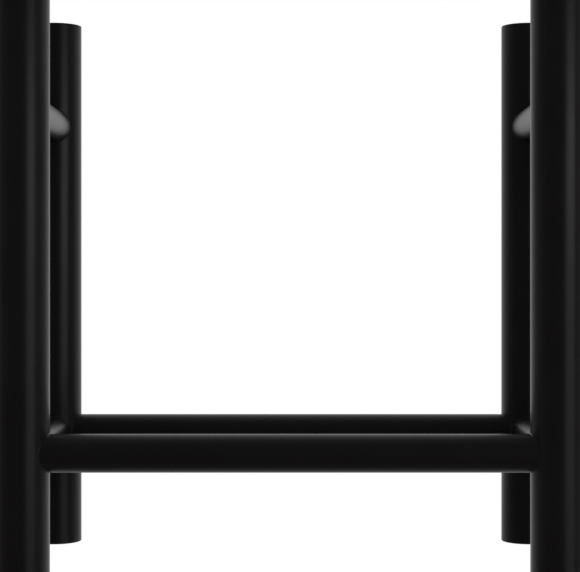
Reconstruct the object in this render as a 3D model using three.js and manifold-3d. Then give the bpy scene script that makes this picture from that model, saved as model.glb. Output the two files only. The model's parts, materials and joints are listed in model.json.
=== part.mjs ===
// Wall-hung electric towel warmer in black powder-coated steel tube.
//
// A tall front ladder and a short rear frame stand one behind the other, joined by four spacers.
// Four brackets hold the rear posts to the wall, and a heating element with its control head
// screws into the foot of the right upright. Towels hang over the rungs of both layers.
//
// Millimetres, +Z up. The wall is the plane y = 0, the room is on its -Y side, and +X is to the
// right as seen from the room. The origin is on the wall, midway between the four brackets.
import * as THREE from "three";
import { mergeVertices } from "three/addons/utils/BufferGeometryUtils.js";
import Module from "manifold-3d";

const wasm = await Module();
wasm.setup();

// Tube stock
const uprightDiameter = 38;
const uprightWall = 2;
const railDiameter = 26.2;
const spacerDiameter = 25;
const railWall = 1.8;
const portDiameter = 16;

// Layout, from axis to axis
const uprightSpacing = 364.4;
const layerSpacing = 155.8;
const bracketRise = 234.9;
const rungPitch = 365.5;
const uprightOverhang = 84.4;
const postRise = 79.3;
const postDrop = 85;
const wallGap = 30;

// Welded ends of the tubes
const endPlate = 3;
const spigotDepth = 6;
const bushDepth = 14;
const plateBreak = 0.4;
const edgeBreak = 0.6;

// Gaps that the pieces keep between them
const weldGap = 0.3;
const slipFit = 0.2;
const turnFit = 0.1;
const seatGap = 0.1;

// Wall brackets
const cupDiameter = 24;
const cupLength = 20;
const cupBase = 4;
const studDiameter = 14;
const wallScrewHole = 5.5;
const wallScrewHead = 11;
const grubDiameter = 5;
const grubDepth = 13;
const grubSocket = 2.5;

// Half-inch pipe thread at the feet of the uprights, with its seals
const pipeThread = 20.955;
const sealThickness = 1.5;
const sealWidth = 3.2;

// Blanking plug
const plugFlange = 4;
const plugReach = 10;
const plugSocket = 12;
const plugSocketDepth = 8;

// Air vent
const ventThread = 9.73;
const ventReach = 8;
const ventFlangeDiameter = 16;
const ventFlange = 4;
const ventScrewDiameter = 5;
const ventSeatDepth = 2;
const ventPassage = 3;
const ventOutlet = 1.8;
const ventSquare = 4.5;
const ventSquareHeight = 4;

// Heating element: a cartridge and a sensor pocket side by side in one brass boss
const elementHex = 27;
const elementHexHeight = 7;
const elementReach = 12;
const elementSpigotLength = 10;
const cartridgeDiameter = 11;
const cartridgeWall = 0.8;
const cartridgeLength = 420;
const pocketDiameter = 4;
const pocketWall = 0.5;
const pocketLength = 220;
const boreWeb = 0.7;
const bossWall = 0.9;

// Control head
const headDiameter = 46;
const headWall = 2.2;
const headTop = 2.5;
const headFloor = 2.5;
const leadRoom = 7.5;
const clipThickness = 1.1;
const clipWidth = 3.6;
const clipGrooveDepth = 1.1;
const clipOpening = 11;

// Control board and what it carries, placed by their height above its lower edge
const boardWidth = 28;
const boardHeight = 38;
const boardThickness = 1.6;
const relayWidth = 15;
const relayDepth = 11.5;
const relayHeight = 19;
const relayRise = 22;
const switchSize = 6;
const switchHeight = 3.4;
const ledDiameter = 3;
const ledLength = 3.5;
const leadDiameter = 1.8;

// Power button with its spring, and the indicator above it
const buttonRise = 20;
const buttonDiameter = 12;
const buttonLip = 1.75;
const buttonFlangeThickness = 1.6;
const buttonStem = 1;
const buttonProud = 1.6;
const buttonTravel = 1.2;
const springWire = 0.5;
const springRoom = 0.8;
const springTurns = 4;
const indicatorRise = 33;
const lensDiameter = 4;
const lensLength = 4;

// Thermostat dial on its potentiometer
const potSize = 13;
const potHeight = 7;
const spindleDiameter = 6;
const spindleInPot = 5;
const dialHeight = 17;
const dialWall = 3;
const dialFloor = 2.5;
const dialGap = 0.6;
const dialHub = 12;
const fluteCount = 20;
const fluteDiameter = 4;
const fluteDepth = 0.9;
const numberBand = 7;

// Index mark, a white inlay in the lower rim of the head that the numbers turn past
const markWidth = 1.6;
const markHeight = 5;
const markDepth = 1.2;
const markRise = 1.2;

// Cable gland
const glandRise = 22;
const glandThread = 12;
const glandBore = 7.4;
const glandShoulder = 1.5;
const glandHexHeight = 4;
const glandDome = 8;
const glandNutHeight = 3;

// Sides of the round pieces
const uprightSides = 32;
const railSides = 24;
const fittingSides = 20;
const smallSides = 12;

// Radii, levels and places that follow from the values above
const uprightRadius = uprightDiameter / 2;
const uprightBore = uprightRadius - uprightWall;
const spigotRadius = uprightBore - slipFit;
const railRadius = railDiameter / 2;
const spacerRadius = spacerDiameter / 2;
const copeRadius = uprightRadius + weldGap;
const pipeRadius = pipeThread / 2;
const headRadius = headDiameter / 2;
const headBore = headRadius - headWall;

const uprightX = uprightSpacing / 2;
const postY = -(wallGap + uprightRadius);
const uprightY = postY - layerSpacing;
const upperLevel = bracketRise / 2;
const lowerLevel = -bracketRise / 2;
const rungLevels = {
  rung_lower: lowerLevel - rungPitch,
  rung_middle: lowerLevel,
  rung_upper: lowerLevel + rungPitch,
};
const uprightTop = rungLevels.rung_upper + uprightOverhang;
const uprightBottom = rungLevels.rung_lower - uprightOverhang;
const postTop = upperLevel + postRise;
const postBottom = lowerLevel - postDrop;

const finishes = {
  powderCoat: { color: 0x121212, roughness: 0.42, metalness: 0 },
  blackPlastic: { color: 0x161616, roughness: 0.5, metalness: 0 },
  whitePlastic: { color: 0xd8d8d4, roughness: 0.45, metalness: 0 },
  nickel: { color: 0xb9b4aa, roughness: 0.25, metalness: 1 },
  blackSteel: { color: 0x1c1c1d, roughness: 0.35, metalness: 1 },
  stainless: { color: 0x9c9d9e, roughness: 0.3, metalness: 1 },
  ceramic: { color: 0xd9d3c4, roughness: 0.8, metalness: 0 },
  rubber: { color: 0x1a1a1b, roughness: 0.8, metalness: 0 },
  boardGreen: { color: 0x1f5a3a, roughness: 0.5, metalness: 0 },
  relayBlue: { color: 0x27406b, roughness: 0.45, metalness: 0 },
  redLens: { color: 0xa32018, roughness: 0.15, metalness: 0 },
  silicone: { color: 0xb5472f, roughness: 0.6, metalness: 0 },
};

// Solids: three.js makes the shapes, manifold-3d joins and cuts them.

function toSolid(geometry) {
  const bare = geometry.clone();
  bare.deleteAttribute("normal");
  bare.deleteAttribute("uv");
  const merged = mergeVertices(bare, 1e-4);
  return new wasm.Manifold(
    new wasm.Mesh({
      numProp: 3,
      vertProperties: new Float32Array(merged.getAttribute("position").array),
      triVerts: new Uint32Array(merged.index.array),
    }),
  );
}

function toGeometry(solid) {
  const mesh = solid.getMesh();
  const geometry = new THREE.BufferGeometry();
  geometry.setAttribute("position", new THREE.BufferAttribute(mesh.vertProperties, 3));
  geometry.setIndex(new THREE.BufferAttribute(mesh.triVerts, 1));
  return geometry;
}

function cut(base, ...tools) {
  return toGeometry(tools.reduce((solid, tool) => solid.subtract(toSolid(tool)), toSolid(base)));
}

function fuse(base, ...others) {
  return toGeometry(others.reduce((solid, other) => solid.add(toSolid(other)), toSolid(base)));
}

// A profile of [radius, level] points turned about the Z axis. It runs anticlockwise, and starts
// and ends on the axis or closes on itself.
function turned(profile, sides) {
  const points = profile.map(([radius, level]) => new THREE.Vector2(radius, level));
  if (profile[0][0] > 0) points.push(points[0].clone());
  return new THREE.LatheGeometry(points, sides).rotateX(Math.PI / 2);
}

function rod(radius, bottom, top, sides) {
  const profile = [
    [0, bottom],
    [radius, bottom],
    [radius, top],
    [0, top],
  ];
  return turned(profile, sides);
}

function pipe(outer, inner, bottom, top, sides) {
  const profile = [
    [inner, bottom],
    [outer, bottom],
    [outer, top],
    [inner, top],
  ];
  return turned(profile, sides);
}

// A hexagonal bar, stated by the width across its flats.
function hexBar(acrossFlats, bottom, top) {
  return rod(acrossFlats / Math.sqrt(3), bottom, top, 6);
}

function block(width, depth, height, x, y, z) {
  return new THREE.BoxGeometry(width, depth, height).translate(x, y, z);
}

// Each turns a shape made along +Z to point another way, and lifts it to a level.
function toRight(geometry, level = 0) {
  return geometry.rotateY(Math.PI / 2).translate(0, 0, level);
}

function toLeft(geometry, level = 0) {
  return geometry.rotateY(-Math.PI / 2).translate(0, 0, level);
}

function toWall(geometry, level = 0) {
  return geometry.rotateX(-Math.PI / 2).translate(0, 0, level);
}

function toRoom(geometry, level = 0) {
  return geometry.rotateX(Math.PI / 2).translate(0, 0, level);
}

function down(geometry) {
  return geometry.rotateX(Math.PI);
}

function named(name, geometry, finish, x = 0, y = 0, z = 0) {
  const mesh = new THREE.Mesh(geometry, new THREE.MeshStandardMaterial(finishes[finish]));
  mesh.name = name;
  mesh.position.set(x, y, z);
  return mesh;
}

function groupAt(x, y, z, ...children) {
  const group = new THREE.Group();
  group.position.set(x, y, z);
  group.add(...children);
  return group;
}

// Tubes

function port(pointing, level) {
  return pointing(rod(portDiameter / 2, 0, uprightDiameter, fittingSides), level);
}

// A front upright, open at both ends, with a flow port for each rung and each spacer.
function uprightTube(towardsRung) {
  const bottom = uprightBottom + endPlate + seatGap;
  const top = uprightTop - endPlate - seatGap;
  const tube = pipe(uprightRadius, uprightBore, bottom, top, uprightSides);
  const rungPorts = Object.values(rungLevels).map((level) => port(towardsRung, level));
  const spacerPorts = [lowerLevel, upperLevel].map((level) => port(toWall, level));
  return cut(tube, ...rungPorts, ...spacerPorts);
}

// A rear post, with flow ports for its two spacers and the rear rung.
function postTube(towardsRung) {
  const bottom = postBottom + endPlate + seatGap;
  const top = postTop - endPlate - seatGap;
  const tube = pipe(uprightRadius, uprightBore, bottom, top, uprightSides);
  const spacerPorts = [lowerLevel, upperLevel].map((level) => port(toRoom, level));
  return cut(tube, port(towardsRung, lowerLevel), ...spacerPorts);
}

function cope(x, y) {
  return rod(copeRadius, -railDiameter, railDiameter, uprightSides).translate(x, y, 0);
}

// A rung from upright to upright, coped to fit round both.
function rungTube() {
  const bore = railRadius - railWall;
  const tube = toRight(pipe(railRadius, bore, -uprightX, uprightX, railSides));
  return cut(tube, cope(-uprightX, 0), cope(uprightX, 0));
}

// A spacer from a front upright back to its rear post.
function spacerTube() {
  const bore = spacerRadius - railWall;
  const tube = toWall(pipe(spacerRadius, bore, 0, layerSpacing, railSides));
  return cut(tube, cope(0, 0), cope(0, layerSpacing));
}

// Welded ends. Each stands on the tube's end face, at level 0, and points up.

function endCap() {
  const profile = [
    [0, -spigotDepth],
    [spigotRadius, -spigotDepth],
    [spigotRadius, 0],
    [uprightRadius, 0],
    [uprightRadius, endPlate - plateBreak],
    [uprightRadius - plateBreak, endPlate],
    [0, endPlate],
  ];
  return turned(profile, uprightSides);
}

function ventedCap() {
  const bore = rod(ventThread / 2 + slipFit, -2 * spigotDepth, 2 * endPlate, fittingSides);
  return cut(endCap(), bore);
}

function endBush() {
  const bore = pipeRadius + slipFit;
  const profile = [
    [bore, -bushDepth],
    [spigotRadius, -bushDepth],
    [spigotRadius, 0],
    [uprightRadius, 0],
    [uprightRadius, endPlate - plateBreak],
    [uprightRadius - plateBreak, endPlate],
    [bore, endPlate],
  ];
  return turned(profile, uprightSides);
}

// Foot fittings. Level 0 is the lower face of the bush, and they screw upwards into it.

const flangeTop = -(sealThickness + 2 * seatGap);

function footSeal() {
  const inner = pipeRadius + slipFit;
  return pipe(inner, inner + sealWidth, -seatGap, -seatGap - sealThickness, fittingSides);
}

function blankingPlug() {
  const flangeBottom = flangeTop - plugFlange;
  const flangeRadius = pipeRadius + slipFit + sealWidth;
  const profile = [
    [0, flangeBottom],
    [flangeRadius - edgeBreak, flangeBottom],
    [flangeRadius, flangeBottom + edgeBreak],
    [flangeRadius, flangeTop],
    [pipeRadius, flangeTop],
    [pipeRadius, plugReach],
    [0, plugReach],
  ];
  const socket = hexBar(plugSocket, flangeBottom - 1, flangeBottom + plugSocketDepth);
  return cut(turned(profile, fittingSides), socket);
}

// Air vent. Level 0 is the upper face of the cap that it screws down into.

const ventFlangeBottom = sealThickness + 2 * seatGap;
const ventFlangeTop = ventFlangeBottom + ventFlange;

function ventSeal() {
  const inner = ventThread / 2 + slipFit;
  const outer = ventFlangeDiameter / 2 - edgeBreak;
  return pipe(outer, inner, seatGap, seatGap + sealThickness, fittingSides);
}

function ventBody() {
  const passage = ventPassage / 2;
  const bore = ventScrewDiameter / 2 + turnFit;
  const profile = [
    [passage, -ventReach],
    [ventThread / 2, -ventReach],
    [ventThread / 2, ventFlangeBottom],
    [ventFlangeDiameter / 2, ventFlangeBottom],
    [ventFlangeDiameter / 2, ventFlangeTop - edgeBreak],
    [ventFlangeDiameter / 2 - edgeBreak, ventFlangeTop],
    [bore, ventFlangeTop],
    [bore, -ventSeatDepth],
    [passage, -ventSeatDepth],
  ];
  const middle = (ventFlangeBottom + ventFlangeTop) / 2;
  const outlet = toWall(rod(ventOutlet / 2, 0, ventFlangeDiameter, smallSides), middle);
  return cut(turned(profile, fittingSides), outlet);
}

function ventScrew() {
  const headBottom = ventFlangeTop + seatGap;
  const shank = rod(ventScrewDiameter / 2, seatGap - ventSeatDepth, headBottom, fittingSides);
  const square = block(ventSquare, ventSquare, ventSquareHeight, 0, 0, 0);
  return fuse(shank, square.translate(0, 0, headBottom + ventSquareHeight / 2));
}

// Heating element, in the frame of the foot fittings

const cartridgeBore = cartridgeDiameter / 2 + slipFit;
const pocketBore = pocketDiameter / 2 + slipFit;
const boreSpan = 2 * cartridgeBore + boreWeb + 2 * pocketBore;
const cartridgeX = cartridgeBore - boreSpan / 2;
const pocketX = boreSpan / 2 - pocketBore;
const grooveRadius = boreSpan / 2 + bossWall;
const spigotOutside = grooveRadius + clipGrooveDepth;

const hexBottom = flangeTop - elementHexHeight;
const spigotBottom = hexBottom - elementSpigotLength;
const headLid = hexBottom - seatGap;
const lidUnderside = headLid - headTop;
const clipTop = lidUnderside - seatGap;
const clipBottom = clipTop - clipThickness;

function elementBoss() {
  const low = 2 * spigotBottom;
  const high = 2 * elementReach;
  const thread = rod(pipeRadius, hexBottom, elementReach, fittingSides);
  const hex = hexBar(elementHex, hexBottom, flangeTop);
  const spigot = rod(spigotOutside, spigotBottom, flangeTop, fittingSides);
  const groove = pipe(headRadius, grooveRadius, clipBottom - seatGap, clipTop + seatGap, fittingSides);
  const bores = [
    rod(cartridgeBore, low, high, fittingSides).translate(cartridgeX, 0, 0),
    rod(pocketBore, low, high, smallSides).translate(pocketX, 0, 0),
  ];
  return cut(fuse(hex, thread, spigot), groove, ...bores);
}

// A thin tube with its upper end closed.
function thimble(outer, wall, length, sides) {
  const top = spigotBottom + length;
  const profile = [
    [outer - wall, spigotBottom],
    [outer, spigotBottom],
    [outer, top - wall],
    [outer - wall, top],
    [0, top],
    [0, top - wall],
    [outer - wall, top - wall],
  ];
  return turned(profile, sides);
}

function cartridgeSheath() {
  return thimble(cartridgeDiameter / 2, cartridgeWall, cartridgeLength, fittingSides);
}

function cartridgeCore() {
  const radius = cartridgeDiameter / 2 - cartridgeWall - slipFit;
  const top = spigotBottom + cartridgeLength - cartridgeWall - seatGap;
  return rod(radius, spigotBottom + seatGap, top, fittingSides);
}

function sensorPocket() {
  return thimble(pocketDiameter / 2, pocketWall, pocketLength, smallSides);
}

// Control head, in the same frame. The stack under the button sets where the board stands.

const boardTop = spigotBottom - leadRoom;
const boardBottom = boardTop - boardHeight;
const floorTop = boardBottom - weldGap;
const headBottom = floorTop - headFloor;
const buttonFlange = buttonDiameter / 2 + buttonLip;
const flangeFront = Math.sqrt(headBore ** 2 - buttonFlange ** 2) - weldGap;
const flangeBack = flangeFront - buttonFlangeThickness;
const stemEnd = flangeBack - buttonStem;
const switchFace = stemEnd - buttonTravel - seatGap;
const boardFace = switchFace - switchHeight - seatGap;
const boardBack = boardFace - boardThickness;
const buttonLevel = boardBottom + buttonRise;
const indicatorLevel = boardBottom + indicatorRise;
const glandLevel = boardBottom + glandRise;

function headHousing() {
  const neck = spigotOutside + slipFit;
  const shoulder = 2 * edgeBreak;
  const profile = [
    [headBore, headBottom],
    [headRadius, headBottom],
    [headRadius, headLid - shoulder],
    [headRadius - shoulder, headLid],
    [neck, headLid],
    [neck, lidUnderside],
    [headBore, lidUnderside],
  ];
  const holes = [
    toRoom(rod(buttonDiameter / 2 + slipFit, 0, headDiameter, fittingSides), buttonLevel),
    toRoom(rod(lensDiameter / 2 + slipFit, 0, headDiameter, smallSides), indicatorLevel),
    toWall(rod(glandThread / 2 + slipFit, 0, headDiameter, fittingSides), glandLevel),
  ];
  return cut(turned(profile, uprightSides), indexBlock(slipFit, headWall), ...holes);
}

// The mark reaches markDepth into the wall. With a clearance it is the slot for it.
function indexBlock(clearance, proud) {
  const front = headRadius + proud;
  const back = headRadius - markDepth - clearance;
  const width = markWidth + 2 * clearance;
  const height = markHeight + 2 * clearance;
  const level = headBottom + markRise + markHeight / 2;
  return block(width, front - back, height, 0, -(front + back) / 2, level);
}

function headBase() {
  const bore = spindleDiameter / 2 + slipFit;
  return pipe(headBore - slipFit, bore, headBottom, floorTop, uprightSides);
}

// The spring clip in the groove of the element's spigot, which carries the housing.
function retainingClip() {
  const ring = pipe(spigotOutside + clipWidth, grooveRadius + turnFit, clipBottom, clipTop, fittingSides);
  const mouth = block(clipOpening, headDiameter, headTop, 0, headRadius, (clipTop + clipBottom) / 2);
  return cut(ring, mouth);
}

function controlBoard() {
  const y = -(boardFace + boardBack) / 2;
  return block(boardWidth, boardThickness, boardHeight, 0, y, (boardTop + boardBottom) / 2);
}

function relay() {
  const y = relayDepth / 2 + seatGap - boardBack;
  return block(relayWidth, relayDepth, relayHeight, 0, y, boardBottom + relayRise);
}

function buttonSwitch() {
  const y = -(boardFace + seatGap + switchHeight / 2);
  return block(switchSize, switchHeight, switchSize, 0, y, buttonLevel);
}

function indicatorLed() {
  const foot = boardFace + seatGap;
  return toRoom(rod(ledDiameter / 2, foot, foot + ledLength, smallSides), indicatorLevel);
}

function indicatorLens() {
  const face = headRadius + edgeBreak;
  return toRoom(rod(lensDiameter / 2, face - lensLength, face, smallSides), indicatorLevel);
}

// The power button: its cap fills the hole in the housing, its flange stops behind the wall and
// its stem ends short of the switch by the travel.
function powerButton() {
  const radius = buttonDiameter / 2;
  const face = headRadius + buttonProud;
  const profile = [
    [0, stemEnd],
    [switchSize / 4, stemEnd],
    [switchSize / 4, flangeBack],
    [buttonFlange, flangeBack],
    [buttonFlange, flangeFront],
    [radius, flangeFront],
    [radius, face - edgeBreak],
    [radius - edgeBreak, face],
    [0, face],
  ];
  return toRoom(turned(profile, fittingSides), buttonLevel);
}

// A round wire swept along a curve.
function wire(curve, diameter, steps) {
  const section = new THREE.Shape().absarc(0, 0, diameter / 2, 0, 2 * Math.PI);
  return new THREE.ExtrudeGeometry(section, { steps, curveSegments: 4, extrudePath: curve });
}

// The coil between the board and the button's flange, round the switch.
function buttonSpring() {
  const start = boardFace + seatGap + springWire / 2;
  const rise = flangeBack - seatGap - springWire / 2 - start;
  const radius = switchSize / Math.SQRT2 + springRoom + springWire / 2;
  const helix = new THREE.Curve();
  helix.getPoint = (t, target = new THREE.Vector3()) => {
    const angle = 2 * Math.PI * springTurns * t;
    return target.set(radius * Math.cos(angle), radius * Math.sin(angle), start + rise * t);
  };
  return toRoom(wire(helix, springWire, 10 * springTurns), buttonLevel);
}

// A lead from under the element's spigot down beside the relay to the back of the board.
function lead(startX, side) {
  const x = side * (relayWidth / 2 + leadDiameter);
  const y = weldGap + leadDiameter / 2 - boardBack;
  const route = new THREE.CatmullRomCurve3([
    new THREE.Vector3(startX, 0, spigotBottom - seatGap),
    new THREE.Vector3(startX, 0, spigotBottom - leadDiameter),
    new THREE.Vector3((startX + x) / 2, y / 2, spigotBottom - leadRoom / 2),
    new THREE.Vector3(x, y, boardTop - leadDiameter),
    new THREE.Vector3(x, y, boardTop - 4 * leadDiameter),
  ]);
  return wire(route, leadDiameter, 12);
}

// Thermostat dial, under the head

const dialTop = headBottom - dialGap;
const dialBottom = dialTop - dialHeight;

function potentiometer() {
  const bottom = floorTop + seatGap;
  const body = block(potSize, potSize, potHeight, 0, 0, bottom + potHeight / 2);
  const bore = rod(spindleDiameter / 2 + turnFit, headBottom, bottom + spindleInPot, fittingSides);
  return cut(body, bore);
}

function dialSpindle() {
  const top = floorTop + spindleInPot - weldGap;
  return rod(spindleDiameter / 2, dialBottom + dialFloor + seatGap, top, fittingSides);
}

function thermostatDial() {
  const bore = spindleDiameter / 2 + turnFit;
  const inside = headRadius - dialWall;
  const floor = dialBottom + dialFloor;
  const shoulder = 2 * edgeBreak;
  const profile = [
    [0, dialBottom],
    [headRadius - shoulder, dialBottom],
    [headRadius, dialBottom + shoulder],
    [headRadius, dialTop],
    [inside, dialTop],
    [inside, floor],
    [dialHub / 2, floor],
    [dialHub / 2, dialTop - dialGap],
    [bore, dialTop - dialGap],
    [bore, floor],
    [0, floor],
  ];
  return cut(turned(profile, uprightSides), ...dialFlutes());
}

// Grip flutes round the lower part of the dial, below the band for its numbers.
function dialFlutes() {
  const radius = headRadius + fluteDiameter / 2 - fluteDepth;
  const flutes = [];
  for (let i = 0; i < fluteCount; i += 1) {
    const angle = (2 * Math.PI * i) / fluteCount;
    const flute = rod(fluteDiameter / 2, dialBottom - dialHeight, dialTop - numberBand, smallSides);
    flutes.push(flute.translate(radius * Math.sin(angle), -radius * Math.cos(angle), 0));
  }
  return flutes;
}

// Cable gland, pointing to the wall

const glandHex = glandThread + 2 * glandShoulder;

function cableGland() {
  const seat = headRadius + seatGap;
  const hexTop = seat + glandHexHeight;
  const domeTop = hexTop + glandDome;
  const thread = rod(glandThread / 2, nutInside() - seatGap, hexTop, fittingSides);
  const hex = hexBar(glandHex, seat, hexTop);
  const dome = rod(glandHex / 2 - edgeBreak, seat, domeTop, fittingSides);
  const bore = rod(glandBore / 2, 0, 2 * domeTop, fittingSides);
  return toWall(cut(fuse(hex, thread, dome), bore), glandLevel);
}

function nutInside() {
  return Math.sqrt(headBore ** 2 - (glandHex ** 2) / 3) - weldGap - glandNutHeight;
}

function glandNut() {
  const nut = hexBar(glandHex, nutInside(), nutInside() + glandNutHeight);
  const bore = rod(glandThread / 2 + slipFit, 0, headDiameter, fittingSides);
  return toWall(cut(nut, bore), glandLevel);
}

// Wall bracket, pointing to the room from its place on the wall

function wallCup() {
  const outer = cupDiameter / 2;
  const bore = studDiameter / 2 + slipFit;
  const sink = (wallScrewHead - wallScrewHole) / 2;
  const profile = [
    [wallScrewHole / 2, 0],
    [outer - edgeBreak, 0],
    [outer, edgeBreak],
    [outer, cupLength - edgeBreak],
    [outer - edgeBreak, cupLength],
    [bore, cupLength],
    [bore, cupBase],
    [wallScrewHead / 2, cupBase],
    [wallScrewHole / 2, cupBase - sink],
  ];
  const hole = down(rod(grubDiameter / 2 + turnFit, 0, cupDiameter, smallSides));
  return cut(toRoom(turned(profile, fittingSides)), hole.translate(0, -grubDepth, 0));
}

function bracketStud() {
  const stud = toRoom(rod(studDiameter / 2, cupBase + weldGap, -postY, fittingSides));
  return cut(stud, rod(copeRadius, -cupDiameter, cupDiameter, uprightSides).translate(0, postY, 0));
}

function grubScrew() {
  const inner = studDiameter / 2 + seatGap;
  const outer = cupDiameter / 2 - edgeBreak;
  const screw = rod(grubDiameter / 2, inner, outer, smallSides);
  const socket = hexBar(grubSocket, outer - grubSocket, outer + 1);
  return down(cut(screw, socket)).translate(0, -grubDepth, 0);
}

// Assembly

const sides = [
  { side: "left", x: -uprightX, inwards: toRight },
  { side: "right", x: uprightX, inwards: toLeft },
];
const levels = [
  { level: "upper", z: upperLevel },
  { level: "lower", z: lowerLevel },
];

function frontLadder() {
  const tubes = sides.map(({ side, x, inwards }) => {
    return named(`upright_${side}`, uprightTube(inwards), "powderCoat", x);
  });
  const rungs = Object.entries(rungLevels).map(([name, level]) => {
    return named(name, rungTube(), "powderCoat", 0, 0, level);
  });
  const bushes = sides.map(({ side, x }) => {
    return named(`end_bush_${side}`, down(endBush()), "powderCoat", x, 0, uprightBottom + endPlate);
  });
  const capLevel = uprightTop - endPlate;
  const caps = [
    named("upright_cap_left", ventedCap(), "powderCoat", -uprightX, 0, capLevel),
    named("upright_cap_right", endCap(), "powderCoat", uprightX, 0, capLevel),
  ];
  return groupAt(0, uprightY, 0, ...tubes, ...rungs, ...bushes, ...caps);
}

function rearFrame() {
  const posts = sides.flatMap(({ side, x, inwards }) => [
    named(`rear_post_${side}`, postTube(inwards), "powderCoat", x),
    named(`post_cap_upper_${side}`, endCap(), "powderCoat", x, 0, postTop - endPlate),
    named(`post_cap_lower_${side}`, down(endCap()), "powderCoat", x, 0, postBottom + endPlate),
  ]);
  return groupAt(0, postY, 0, ...posts, named("rear_rung", rungTube(), "powderCoat", 0, 0, lowerLevel));
}

function spacers() {
  const tubes = levels.flatMap(({ level, z }) => {
    return sides.map(({ side, x }) => named(`spacer_${level}_${side}`, spacerTube(), "powderCoat", x, 0, z));
  });
  return groupAt(0, uprightY, 0, ...tubes);
}

function bracket(suffix, x, z) {
  return groupAt(
    x,
    0,
    z,
    named(`wall_cup_${suffix}`, wallCup(), "powderCoat"),
    named(`bracket_stud_${suffix}`, bracketStud(), "powderCoat"),
    named(`grub_screw_${suffix}`, grubScrew(), "blackSteel"),
  );
}

function airVent() {
  return groupAt(
    -uprightX,
    uprightY,
    uprightTop,
    named("vent_seal", ventSeal(), "rubber"),
    named("vent_body", ventBody(), "nickel"),
    named("vent_screw", ventScrew(), "nickel"),
  );
}

function blankedFoot() {
  return groupAt(
    -uprightX,
    uprightY,
    uprightBottom,
    named("plug_seal", footSeal(), "rubber"),
    named("blanking_plug", blankingPlug(), "nickel"),
  );
}

function heatedFoot() {
  return groupAt(
    uprightX,
    uprightY,
    uprightBottom,
    named("element_seal", footSeal(), "rubber"),
    named("element_boss", elementBoss(), "nickel"),
    named("element_sheath", cartridgeSheath(), "stainless", cartridgeX),
    named("element_core", cartridgeCore(), "ceramic", cartridgeX),
    named("sensor_pocket", sensorPocket(), "stainless", pocketX),
    named("retaining_clip", retainingClip(), "stainless"),
    named("control_housing", headHousing(), "blackPlastic"),
    named("control_base", headBase(), "blackPlastic"),
    named("control_board", controlBoard(), "boardGreen"),
    named("relay", relay(), "relayBlue"),
    named("button_switch", buttonSwitch(), "blackPlastic"),
    named("button_spring", buttonSpring(), "stainless"),
    named("power_button", powerButton(), "blackPlastic"),
    named("indicator_led", indicatorLed(), "redLens"),
    named("indicator_lens", indicatorLens(), "redLens"),
    named("potentiometer", potentiometer(), "blackPlastic"),
    named("dial_spindle", dialSpindle(), "stainless"),
    named("thermostat_dial", thermostatDial(), "blackPlastic"),
    named("index_mark", indexBlock(0, 0), "whitePlastic"),
    named("cable_gland", cableGland(), "blackPlastic"),
    named("gland_nut", glandNut(), "blackPlastic"),
    named("element_lead", lead(cartridgeX, -1), "silicone"),
    named("sensor_lead", lead(pocketX, 1), "silicone"),
  );
}

const towelWarmer = new THREE.Group();
towelWarmer.add(frontLadder(), rearFrame(), spacers(), airVent(), blankedFoot(), heatedFoot());
for (const { level, z } of levels) {
  for (const { side, x } of sides) towelWarmer.add(bracket(`${level}_${side}`, x, z));
}

export default towelWarmer;
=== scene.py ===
import json
import math

import bmesh
import bpy
import numpy as np
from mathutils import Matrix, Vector


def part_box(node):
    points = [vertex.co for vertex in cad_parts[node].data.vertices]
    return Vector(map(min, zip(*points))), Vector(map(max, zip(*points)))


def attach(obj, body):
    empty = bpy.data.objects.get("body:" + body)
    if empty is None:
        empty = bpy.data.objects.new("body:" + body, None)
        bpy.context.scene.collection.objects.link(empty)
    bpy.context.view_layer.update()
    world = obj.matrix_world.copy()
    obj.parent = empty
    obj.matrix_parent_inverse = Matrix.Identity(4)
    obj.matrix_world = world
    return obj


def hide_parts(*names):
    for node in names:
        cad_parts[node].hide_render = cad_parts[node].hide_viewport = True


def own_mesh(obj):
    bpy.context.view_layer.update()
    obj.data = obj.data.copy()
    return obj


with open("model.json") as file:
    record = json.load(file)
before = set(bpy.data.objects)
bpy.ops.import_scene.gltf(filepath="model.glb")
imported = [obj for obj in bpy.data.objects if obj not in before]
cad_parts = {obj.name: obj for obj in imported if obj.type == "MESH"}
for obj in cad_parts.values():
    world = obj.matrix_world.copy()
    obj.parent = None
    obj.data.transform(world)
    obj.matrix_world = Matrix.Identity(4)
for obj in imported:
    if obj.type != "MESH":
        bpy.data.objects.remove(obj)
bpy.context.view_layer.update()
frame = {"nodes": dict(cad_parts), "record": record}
record = frame["record"]
slotOf = {part["node"]: part["material_slot"] for part in record["subparts"]}
bodyOf = {node: body for body, nodes in record["behaviour"]["bodies"].items() for node in nodes}

mm = 0.001  # shapes are worked out in millimetres


# Corners of a CAD node's box, in millimetres
def boxOf(node):
    low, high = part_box(node)
    return np.array(low) / mm, np.array(high) / mm


# Axis, radius and ends of a vertical tube from its CAD box
def verticalTube(node):
    low, high = boxOf(node)
    middle = (low + high) / 2
    return middle[0], middle[1], (high[0] - low[0]) / 2, low[2], high[2]


# Height of a node's middle
def levelOf(node):
    return sum(boxOf(node))[2] / 2


# Several entries of a piece's dictionary at once
def pick(piece, names):
    return [piece[name] for name in names.split()]


leftX, frontY, trunkRadius, _, _ = verticalTube("upright_left")
rightX, rearY, _, _, _ = verticalTube("rear_post_right")
footLevel = boxOf("end_bush_right")[0][2]
capLevel = boxOf("upright_cap_left")[1][2]
sides = {"left": leftX, "right": rightX}
brackets = {  # x and z of each
    f"{level}.{side}": (sides[side], levelOf(f"wall_cup_{level}_{side}"))
    for level in ("upper", "lower") for side in sides}


# sRGB hex to the linear colour that shaders take
def linear(hexColour):
    shares = [int(hexColour[i:i + 2], 16) / 255 for i in (1, 3, 5)]
    return [s / 12.92 if s <= 0.04045 else ((s + 0.055) / 1.055) ** 2.4 for s in shares] + [1]


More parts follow.
